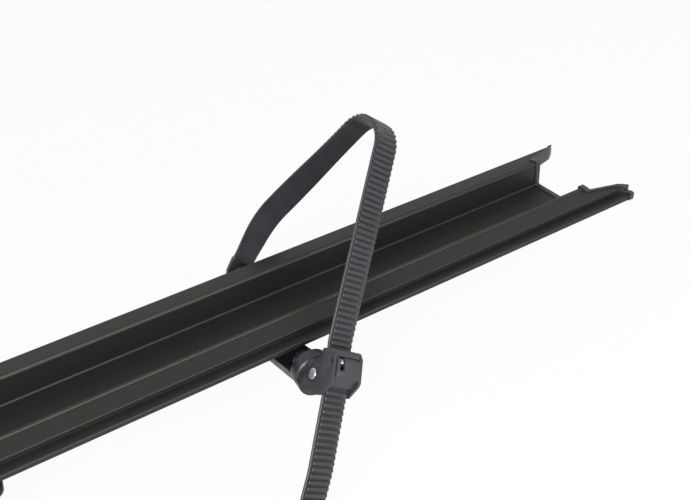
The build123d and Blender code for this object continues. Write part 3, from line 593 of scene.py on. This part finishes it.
@dataclass
class StrapSet:
    """One wheel's strap set: the under-tray arm, the swivelling loop and its buckle."""

    carrier: Carrier
    end: str
    x: float
    side: int
    lean: float = 40.0
    foot_z: float = 41.9
    strap_width: float = 25.0
    strap_thick: float = 4.5
    tooth_width: float = 22.0
    tooth_height: float = 2.2
    tooth_pitch: float = 5.0
    tooth_start: float = 30.0
    tooth_stop: float = 16.0
    tooth_shares: tuple[float, ...] = (0.0, 0.05, 0.1, 0.16, 0.44, 0.5, 0.67, 0.8, 0.86)
    root_steps: tuple[int, ...] = (0, 4, 8, 12, 16)
    tail_shares: tuple[float, ...] = (0.0, 0.3, 0.55)
    tooth_soft: float = 0.35
    tooth_root: float = 0.1
    edge_round: float = 0.5
    twist: float = 26.0
    twist_low: float = 12.0
    twist_high: float = 190.0
    twist_skew: float = 0.7
    eye_y: float = 87.0
    eye_across: float = 2.4
    eye_below: float = 5.8
    eye_radius: float = 14.0
    eye_bore: float = 4.15
    eye_steps: int = 48
    eye_plate_top: float = 8.0
    tip_round: float = 7.0
    tip_rings: int = 6
    route: Route = field(
        default_factory=lambda: Route(
            (
                (87.0, 0.0, 0.0),
                (87.0, 56.0, 95.0),
                (20.0, 199.0, 27.0),
                (-20.0, 199.0, 27.0),
                (-99.5, 34.0, 30.0),
                (-123.5, 2.0, 30.0),
                (-155.5, -54.0, 60.0),
                (-179.0, -108.0, 0.0),
            )
        )
    )
    buckle_in: tuple[float, float] = (-99.5, 34.0)
    buckle_out: tuple[float, float] = (-123.5, 2.0)
    buckle_shift: float = 2.4
    spring_centre: tuple[float, float] = (15.5, 9.3)
    spring_low: float = -9.3
    spring_high: float = -4.9
    spring_wire: float = 0.42
    spring_coil: float = 2.45
    spring_turns: float = 4.5
    spring_leg: float = 2.4
    spring_leg_lift: float = 0.3
    bend_start: tuple[float, float] = (-30.0, 120.0)
    bend_end_y: float = -96.0

    def world(self, across: float, y: float, rise: float) -> Point:
        """Turn a place in the loop's own frame into metres in the shared frame.

        Args:
            across: The distance across the strap.
            y: The distance along Y.
            rise: The distance from the loop's foot, up its leaning plane.

        Returns:
            The place in metres.
        """
        tilt = math.radians(self.lean) * self.side
        cos, sin = math.cos(tilt), math.sin(tilt)
        return (
            (self.x + across * cos + rise * sin) * MM,
            y * MM,
            (self.foot_z - across * sin + rise * cos) * MM,
        )

    def in_buckle(self, across: float, along: float, out: float) -> Point:
        """Turn a place in the buckle's own frame into metres in the shared frame.

        Args:
            across: The distance across the strap.
            along: The distance along the strap, towards its tail.
            out: The distance out from the strap's middle line.

        Returns:
            The place in metres.
        """
        start, end = Vector(self.buckle_in), Vector(self.buckle_out)
        way = (end - start).normalized()
        outward = Vector((way.y, -way.x))
        spot = start + way * (self.buckle_shift + along) + outward * out
        return self.world(across, spot.x, spot.y)

    def tooth_profile(self, along: float) -> float:
        """Give the tooth's height at a distance along the strap.

        Args:
            along: The distance from the eye.

        Returns:
            The height above the band, from 0 to the full tooth.
        """
        steep, land, slope = 0.1, 0.5, 0.84
        stop = self.route.length - self.tooth_stop
        if not self.tooth_start <= along <= stop:
            return 0.0
        phase = ((along - self.tooth_start) / self.tooth_pitch) % 1.0
        if phase < steep:
            return self.tooth_height * phase / steep
        if phase < land:
            return self.tooth_height
        if phase < slope:
            return self.tooth_height * (1 - (phase - land) / (slope - land))
        return 0.0

    def stations(self) -> list[float]:
        """List the distances along the strap where it gets a ring of points.

        Returns:
            The distances, from the end of the eye plate to the tip.
        """
        stop = self.route.length - self.tooth_stop
        found = [self.eye_plate_top + step for step in self.root_steps]
        tooth = self.tooth_start
        while tooth < stop - self.tooth_pitch / 2:
            found += [tooth + phase * self.tooth_pitch for phase in self.tooth_shares]
            tooth += self.tooth_pitch
        rest = self.route.length - tooth
        found += [tooth + rest * share for share in self.tail_shares]
        for step in range(1, self.tip_rings + 1):
            share = math.sin(math.pi / 2 * step / self.tip_rings)
            found.append(self.route.length - self.tip_round * (1 - share))
        return sorted(found)

    def twist_at(self, along: float) -> float:
        """Give the strap's twist on its far leg, where it bends freely.

        Args:
            along: The distance from the eye.

        Returns:
            The twist about the middle line, in radians.
        """
        share = (along - self.twist_low) / (self.twist_high - self.twist_low)
        if not 0 < share < 1:
            return 0.0
        return math.radians(self.twist) * math.sin(math.pi * share**self.twist_skew) ** 2

    def ring(self, along: float) -> list[Point]:
        """Give the points round the strap at one distance along it.

        Args:
            along: The distance from the eye.

        Returns:
            The ring's points in metres.
        """
        half, tooth_half = self.strap_width / 2, self.tooth_width / 2
        left = self.route.length - along
        if left < self.tip_round:
            drop = self.tip_round - left
            trim = self.tip_round - math.sqrt(max(self.tip_round**2 - drop**2, 0.0))
            half -= trim
            tooth_half -= trim
        low = -self.strap_thick / 2
        band = low + self.strap_thick - self.tooth_height
        top = band + self.tooth_profile(min(along, self.route.length))
        soft = self.edge_round
        lip = min(self.tooth_soft, max(top - band, 0.0))
        section = [
            (half - soft, low),
            (half, low + soft),
            (half, band - soft),
            (half - soft, band),
            (tooth_half + self.tooth_root, band),
            (tooth_half, top - lip),
            (tooth_half - self.tooth_soft, top),
        ]
        section += [(-a, n) for a, n in reversed(section)]
        place, way = self.route.at(along)
        outward = Vector((way.y, -way.x))
        twist = self.twist_at(along) * self.side
        points = []
        for across, out in section:
            a = across * math.cos(twist) + out * math.sin(twist)
            n = out * math.cos(twist) - across * math.sin(twist)
            spot = place + outward * n
            points.append(self.world(a, spot.x, spot.y))
        return points

    def strap(self) -> bpy.types.Object:
        """Build the toothed strap with its eye.

        Returns:
            The strap.
        """
        rings = [self.ring(along) for along in self.stations()]
        size = len(rings[0])
        points = [p for ring in rings for p in ring]
        faces = join_rings(len(rings), size)
        self.add_eye(points, faces)
        return make_piece(self.end + "_strap", points, faces, TPU, 30.0)

    def add_eye(self, points: list[Point], faces: list[tuple[int, ...]]) -> None:
        """Add the plate with the hole that turns on the anchor screw.

        Args:
            points: The strap's points, which grow.
            faces: The strap's faces, which grow.
        """
        low, high = -self.strap_thick / 2, self.strap_thick / 2
        soft = self.edge_round
        base = len(points)
        middle = (self.eye_across * self.side, -self.eye_below)
        loops = (
            (0.0, low, True),
            (-soft, low, False),
            (0.0, low + soft, False),
            (0.0, high - soft, False),
            (-soft, high, False),
            (0.0, high, True),
        )
        for inset, level, inner in loops:
            for step in range(self.eye_steps):
                angle = 2 * math.pi * step / self.eye_steps
                ray = Vector((math.cos(angle), math.sin(angle)))
                reach = self.eye_bore if inner else self.eye_reach(ray) + inset
                across, rise = middle[0] + ray.x * reach, middle[1] + ray.y * reach
                points.append(self.world(across, self.eye_y + level, rise))
        faces += join_rings(len(loops), self.eye_steps, base, looped=True)

    def eye_reach(self, ray: Vector) -> float:
        """Find how far the eye plate's edge is from the eye's centre.

        Args:
            ray: The unit direction from the centre, across and up.

        Returns:
            The distance.
        """
        middle = Vector((self.eye_across * self.side, -self.eye_below))
        half, top = self.strap_width / 2, self.eye_plate_top
        corners = [
            Vector((self.eye_radius, 0.0)),
            Vector((half, top)) - middle,
            Vector((-half, top)) - middle,
            Vector((-self.eye_radius, 0.0)),
        ]
        reach = self.eye_radius if ray.y <= 0 else math.inf
        for start, end in zip(corners, corners[1:]):
            normal = Vector((end.y - start.y, start.x - end.x))
            if ray.y > 0 and normal.dot(ray) > 0:
                reach = min(reach, normal.dot(start) / normal.dot(ray))
        return reach

    def spring(self) -> bpy.types.Object:
        """Build the lever's torsion spring as wound wire with two short legs.

        Returns:
            The spring.
        """
        per_turn, sides = 20, 8
        total = int(per_turn * self.spring_turns)
        wire = self.spring_wire
        reach = self.spring_high - self.spring_low - 2 * wire
        path = []
        for step in range(total + 1):
            share = step / total
            angle = 2 * math.pi * self.spring_turns * share + math.pi / 2
            path.append(
                Vector(
                    (
                        self.spring_low + wire + reach * share,
                        self.spring_centre[0] + self.spring_coil * math.cos(angle),
                        self.spring_centre[1] + self.spring_coil * math.sin(angle),
                    )
                )
            )
        first, last = path[0], path[-1]
        path.insert(0, first + Vector((0, self.spring_leg, 0)))
        path.append(last + Vector((0, self.spring_leg, self.spring_leg_lift)))
        points = []
        for index, spot in enumerate(path):
            ahead = path[min(index + 1, len(path) - 1)]
            behind = path[max(index - 1, 0)]
            way = (ahead - behind).normalized()
            side = way.cross(Vector((1, 0, 0))).normalized()
            over = way.cross(side)
            for turn in range(sides):
                angle = 2 * math.pi * turn / sides
                p = spot + (side * math.cos(angle) + over * math.sin(angle)) * wire
                points.append(self.in_buckle(p.x, p.y, p.z))
        faces = join_rings(len(path), sides)
        return make_piece(self.end + "_wound_spring", points, faces, STAINLESS, 60.0)

    def build(self) -> None:
        """Build and dress the whole set."""
        end = self.end
        loop, buckle = end + "_strap_loop", end + "_buckle"
        carriage = end + "_strap_carriage"
        strap = self.strap()
        self.carrier.stand_for(strap, end + "_ladder_strap", "", "strap_tpu")
        start = Vector(self.world(0, *self.bend_start))
        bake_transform(strap)
        self.carrier.stand_for(
            self.spring(), end + "_lever_spring", buckle, "bright_steel"
        )
        shaped = (
            ("crossarm", carriage, NYLON, 1.4),
            ("swivel_knuckle", loop, NYLON, 0.9),
            ("buckle_frame", buckle, BUCKLE_NYLON, 0.5),
            ("ratchet_lever", end + "_lever", BUCKLE_NYLON, 0.5),
            ("holding_pawl", end + "_pawl", BUCKLE_NYLON, 0.25),
        )
        for name, body, finish, radius in shaped:
            node = f"{end}_{name}"
            self.carrier.round_node(node, body, "moulded_nylon", finish, radius)
        self.carrier.dress_nodes(STAINLESS, end + "_buckle_rivet")
        self.carrier.dress_nodes(BLACK_STEEL, end + "_lever_pin", end + "_pawl_pin")
        names = ("swivel_stud", "strap_anchor_screw", "crossarm_t_nut", "crossarm_bolt")
        self.carrier.dress_nodes(ZINC, *(f"{end}_{name}" for name in names))


@dataclass
class WheelTray:
    """The extruded tray with its end caps."""

    carrier: Carrier

    def build(self) -> None:
        """Dress the tray and its caps."""
        self.carrier.dress_nodes(ANODISED, "tray_extrusion")
        for cap in ("tail_end_cap", "front_end_cap"):
            self.carrier.round_node(cap, "tray", "moulded_nylon", NYLON, 0.35)
        self.carrier.dress_nodes(ZINC, "end_cap_screws")


@dataclass
class Saddle:
    """One saddle between the tray and its crossbar."""

    carrier: Carrier
    end: str

    def build(self) -> None:
        """Dress the saddle, its rubber pad and its fasteners."""
        end = self.end
        body = end + "_saddle"
        self.carrier.round_node(
            end + "_saddle_body", body, "black_cast_aluminium", POWDER_COAT, 1.0
        )
        self.carrier.round_node(end + "_saddle_pad", body, "rubber_pad", RUBBER, 1.0)
        names = ("saddle_tray_bolts", "saddle_t_nuts", "crossbar_t_bolts", "crossbar_nuts")
        self.carrier.dress_nodes(ZINC, *(f"{end}_{name}" for name in names))


@dataclass
class FoldingArm:
    """The upright arm, its base under the tray and the frame clamp on top."""

    carrier: Carrier
    x: float = 510.0
    grip_z: float = 554.2
    jaw_half: float = 15.0
    pad_near: float = -19.7
    pad_far: float = 43.7
    pad_thick: float = 5.0
    jaw_open: float = 34.0
    jaw_thick: float = 12.0
    rib_pitch: float = 5.8
    rib_depth: float = 1.3
    rib_shares: tuple[tuple[float, float], ...] = (
        (0.1, 0.45),
        (0.2, 0.0),
        (0.75, 0.0),
        (0.85, 0.45),
        (0.95, 1.0),
    )
    pad_end_share: float = 0.66
    pad_soft: float = 0.7
    screw_y: float = 54.0
    screw_radius: float = 4.0
    screw_low: float = -36.0
    screw_high: float = 74.0
    thread_pitch: float = 2.5
    thread_depth: float = 0.8
    thread_flat: float = 1.4
    thread_gap: float = 0.02
    plain_top: float = 3.0
    plain_foot: float = 1.5

    def pad(self, name: str, level: float, way: int) -> bpy.types.Object:
        """Build one jaw's rubber pad with ribs across the gripped tube.

        Args:
            name: The piece's name.
            level: The height of the pad's seat.
            way: 1 where the pad faces up, -1 where it faces down.

        Returns:
            The pad.
        """
        profile = [(self.pad_near, 0.0), (self.pad_near, self.pad_thick * self.pad_end_share)]
        count = int((self.pad_far - self.pad_near) / self.rib_pitch)
        pitch = (self.pad_far - self.pad_near) / count
        for rib in range(count):
            start = self.pad_near + rib * pitch
            for share, depth in self.rib_shares:
                profile.append(
                    (start + share * pitch, self.pad_thick - depth * self.rib_depth)
                )
        profile[-1] = (self.pad_far, self.pad_thick * self.pad_end_share)
        profile.append((self.pad_far, 0.0))
        soft = self.pad_soft
        points = []
        sections = (
            (-self.jaw_half, soft),
            (-self.jaw_half + soft, 0.0),
            (self.jaw_half - soft, 0.0),
            (self.jaw_half, soft),
        )
        for x, inset in sections:
            for y, out in profile:
                lowered = out - inset if out > inset else out
                z = level + way * lowered
                points.append(((self.x + x) * MM, y * MM, (self.grip_z + z) * MM))
        faces = join_rings(len(sections), len(profile))
        return make_piece(name, points, faces, RUBBER, 50.0)

    def spindle(self) -> bpy.types.Object:
        """Build the spindle with its rolled thread.

        Returns:
            The spindle.
        """
        sides, per_pitch = 24, 6
        length = self.screw_high - self.screw_low
        plain_low = self.screw_low + self.plain_foot
        plain_high = self.screw_high - self.plain_top
        rows = int(length / self.thread_pitch * per_pitch)
        points = []
        for row in range(rows + 1):
            z = self.screw_low + length * row / rows
            for side in range(sides):
                share = side / sides
                phase = (z / self.thread_pitch - share) % 1.0
                tooth = 1 - abs(2 * phase - 1)
                plain = not plain_low <= z <= plain_high
                cut = 0.0 if plain else self.thread_depth * min(1.0, tooth * self.thread_flat)
                radius = self.screw_radius - self.thread_gap - cut
                angle = 2 * math.pi * share
                points.append(
                    (
                        (self.x + radius * math.cos(angle)) * MM,
                        (self.screw_y + radius * math.sin(angle)) * MM,
                        (self.grip_z + z) * MM,
                    )
                )
        faces = join_rings(rows + 1, sides)
        return make_piece("clamp_spindle_thread", points, faces, ZINC, 50.0)

    def build(self) -> None:
        """Build and dress the arm, its base and the clamp."""
        carrier = self.carrier
        cast, moulded = "black_cast_aluminium", "moulded_nylon"
        carrier.round_node("arm_base", "arm_base", cast, POWDER_COAT, 1.0)
        carrier.round_node("arm_foot", "arm", moulded, NYLON, 1.2)
        carrier.dress_nodes(ANODISED, "arm_tube")
        carrier.round_node("clamp_body", "arm", cast, POWDER_COAT, 1.2)
        carrier.round_node("clamp_moving_jaw", "clamp_jaw", cast, POWDER_COAT, 1.0)
        carrier.round_node("clamp_knob", "clamp_spindle", moulded, NYLON, 1.0)
        lower = self.pad("clamp_lower_grip", -self.jaw_open, 1)
        carrier.stand_for(lower, "clamp_lower_pad", "arm", "rubber_pad")
        upper = self.pad("clamp_upper_grip", self.jaw_open - self.jaw_thick, -1)
        carrier.stand_for(upper, "clamp_upper_pad", "clamp_jaw", "rubber_pad")
        carrier.stand_for(
            self.spindle(), "clamp_screw", "clamp_spindle", "zinc_plated_steel"
        )
        carrier.dress_nodes(STAINLESS, "clamp_lock_cylinder")
        names = ("arm_base_bolts", "arm_base_t_nut", "arm_pivot_bolt", "arm_pivot_nut")
        carrier.dress_nodes(ZINC, *names)


@dataclass
class Studio:
    """The camera, a plain pale floor and soft light."""

    eye: Point = (0.7665, -0.4929, 0.4650)
    yaw: float = 24.2438
    pitch: float = 35.6551
    roll: float = -7.4113
    focal_pixels: float = 700.0
    image_width: float = 690.0
    sensor: float = 36.0
    near_clip: float = 0.01
    aim: Point = (0.8, 0.0, 0.05)
    softboxes: tuple[tuple[str, Point, float, float], ...] = (
        ("key_softbox", (-0.3, -1.5, 1.45), 1.3, 60.0),
        ("front_softbox", (1.3, -2.0, 0.8), 1.2, 30.0),
    )
    floor_z: float = -0.062
    floor_half: float = 9.0
    white: str = "#ffffff"
    room_strength: float = 0.4
    floor_glow: float = 0.93
    floor_colour: str = "#e9e9e8"

    def camera(self) -> None:
        """Place the camera where the picture was taken from."""
        yaw, pitch, roll = (math.radians(a) for a in (self.yaw, self.pitch, self.roll))
        ahead = Vector(
            (
                math.sin(yaw) * math.cos(pitch),
                math.cos(yaw) * math.cos(pitch),
                -math.sin(pitch),
            )
        )
        level = Vector((math.cos(yaw), -math.sin(yaw), 0.0))
        over = level.cross(ahead)
        right = level * math.cos(roll) + over * math.sin(roll)
        up = over * math.cos(roll) - level * math.sin(roll)
        lens = bpy.data.cameras.new("photo_camera")
        lens.sensor_width = self.sensor
        lens.lens = self.focal_pixels / self.image_width * self.sensor
        lens.clip_start = self.near_clip
        camera = bpy.data.objects.new("photo_camera", lens)
        turned = Matrix((right, up, -ahead)).transposed().to_4x4()
        camera.matrix_world = Matrix.Translation(self.eye) @ turned
        bpy.context.scene.collection.objects.link(camera)
        bpy.context.scene.camera = camera

    def seen_or_reflected(self, tree: bpy.types.NodeTree) -> bpy.types.NodeSocket:
        """Give one for rays from the camera, from gloss and through glass.

        Args:
            tree: The node tree that needs it.

        Returns:
            The socket.
        """
        path = add_node(tree, "ShaderNodeLightPath")
        pair = add_node(
            tree,
            "ShaderNodeMath",
            {"operation": "MAXIMUM"},
            {0: path.outputs["Is Camera Ray"], 1: path.outputs["Is Glossy Ray"]},
        )
        return add_node(
            tree,
            "ShaderNodeMath",
            {"operation": "MAXIMUM"},
            {0: pair.outputs[0], 1: path.outputs["Is Transmission Ray"]},
        ).outputs[0]

    def world(self) -> None:
        """Light the room evenly, white to the camera and in reflections."""
        world = bpy.data.worlds.new("studio_room")
        world.use_nodes = True
        tree = world.node_tree
        tree.nodes.clear()
        seen = self.seen_or_reflected(tree)
        strength = add_node(
            tree,
            "ShaderNodeMapRange",
            {"To Min": self.room_strength, "To Max": 1.0},
            {"Value": seen},
        ).outputs["Result"]
        room = add_node(
            tree,
            "ShaderNodeBackground",
            {"Color": linear(self.white)},
            {"Strength": strength},
        ).outputs[0]
        add_node(tree, "ShaderNodeOutputWorld", links={"Surface": room})
        bpy.context.scene.world = world

    def floor(self) -> None:
        """Lay a plain pale floor that keeps a soft shadow."""
        material = bpy.data.materials.new("pale_floor")
        material.use_nodes = True
        tree = material.node_tree
        tree.nodes.clear()
        seen = self.seen_or_reflected(tree)
        share = add_node(
            tree, "ShaderNodeMath", {"operation": "MULTIPLY", 1: self.floor_glow}, {0: seen}
        ).outputs[0]
        matt = add_node(
            tree, "ShaderNodeBsdfDiffuse", {"Color": linear(self.floor_colour)}
        ).outputs[0]
        glow = add_node(
            tree, "ShaderNodeEmission", {"Color": linear(self.white), "Strength": 1.0}
        ).outputs[0]
        mix = add_node(
            tree, "ShaderNodeMixShader", links={0: share, 1: matt, 2: glow}
        ).outputs[0]
        add_node(tree, "ShaderNodeOutputMaterial", links={"Surface": mix})
        half = self.floor_half
        mesh = bpy.data.meshes.new("studio_floor")
        corners = ((-half, -half), (half, -half), (half, half), (-half, half))
        mesh.from_pydata([(x, y, self.floor_z) for x, y in corners], [], [(0, 1, 2, 3)])
        mesh.materials.append(material)
        floor = bpy.data.objects.new("studio_floor", mesh)
        bpy.context.scene.collection.objects.link(floor)

    def softbox(self, name: str, place: Point, size: float, power: float) -> None:
        """Hang one square softbox that faces the carrier.

        Args:
            name: The lamp's name.
            place: Where it hangs, in metres.
            size: The length of its sides in metres.
            power: Its power in watts.
        """
        lamp = bpy.data.lights.new(name, "AREA")
        lamp.shape = "SQUARE"
        lamp.size = size
        lamp.energy = power
        box = bpy.data.objects.new(name, lamp)
        box.location = place
        facing = Vector(self.aim) - Vector(place)
        box.rotation_euler = facing.to_track_quat("-Z", "Y").to_euler()
        bpy.context.scene.collection.objects.link(box)

    def lights(self) -> None:
        """Hang a key softbox over the buckle side and a weaker one low in front."""
        for name, place, size, power in self.softboxes:
            self.softbox(name, place, size, power)
        bpy.context.scene.view_settings.view_transform = "Standard"


def main() -> None:
    """Build the studio and dress the carrier, in order, and report each piece."""
    studio = Studio()
    studio.camera()
    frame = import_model()
    carrier = Carrier(frame["nodes"])
    WheelTray(carrier).build()
    StrapSet(carrier, "rear", REAR_SET_X, 1).build()
    StrapSet(carrier, "front", FRONT_SET_X, -1).build()
    Saddle(carrier, "front").build()
    Saddle(carrier, "rear").build()
    FoldingArm(carrier).build()
    studio.world()
    studio.floor()
    studio.lights()
    LOG.info("%d pieces", len(carrier.reported))


if __name__ == "__main__":
    logging.basicConfig(level=logging.INFO, format="%(message)s")
    main()
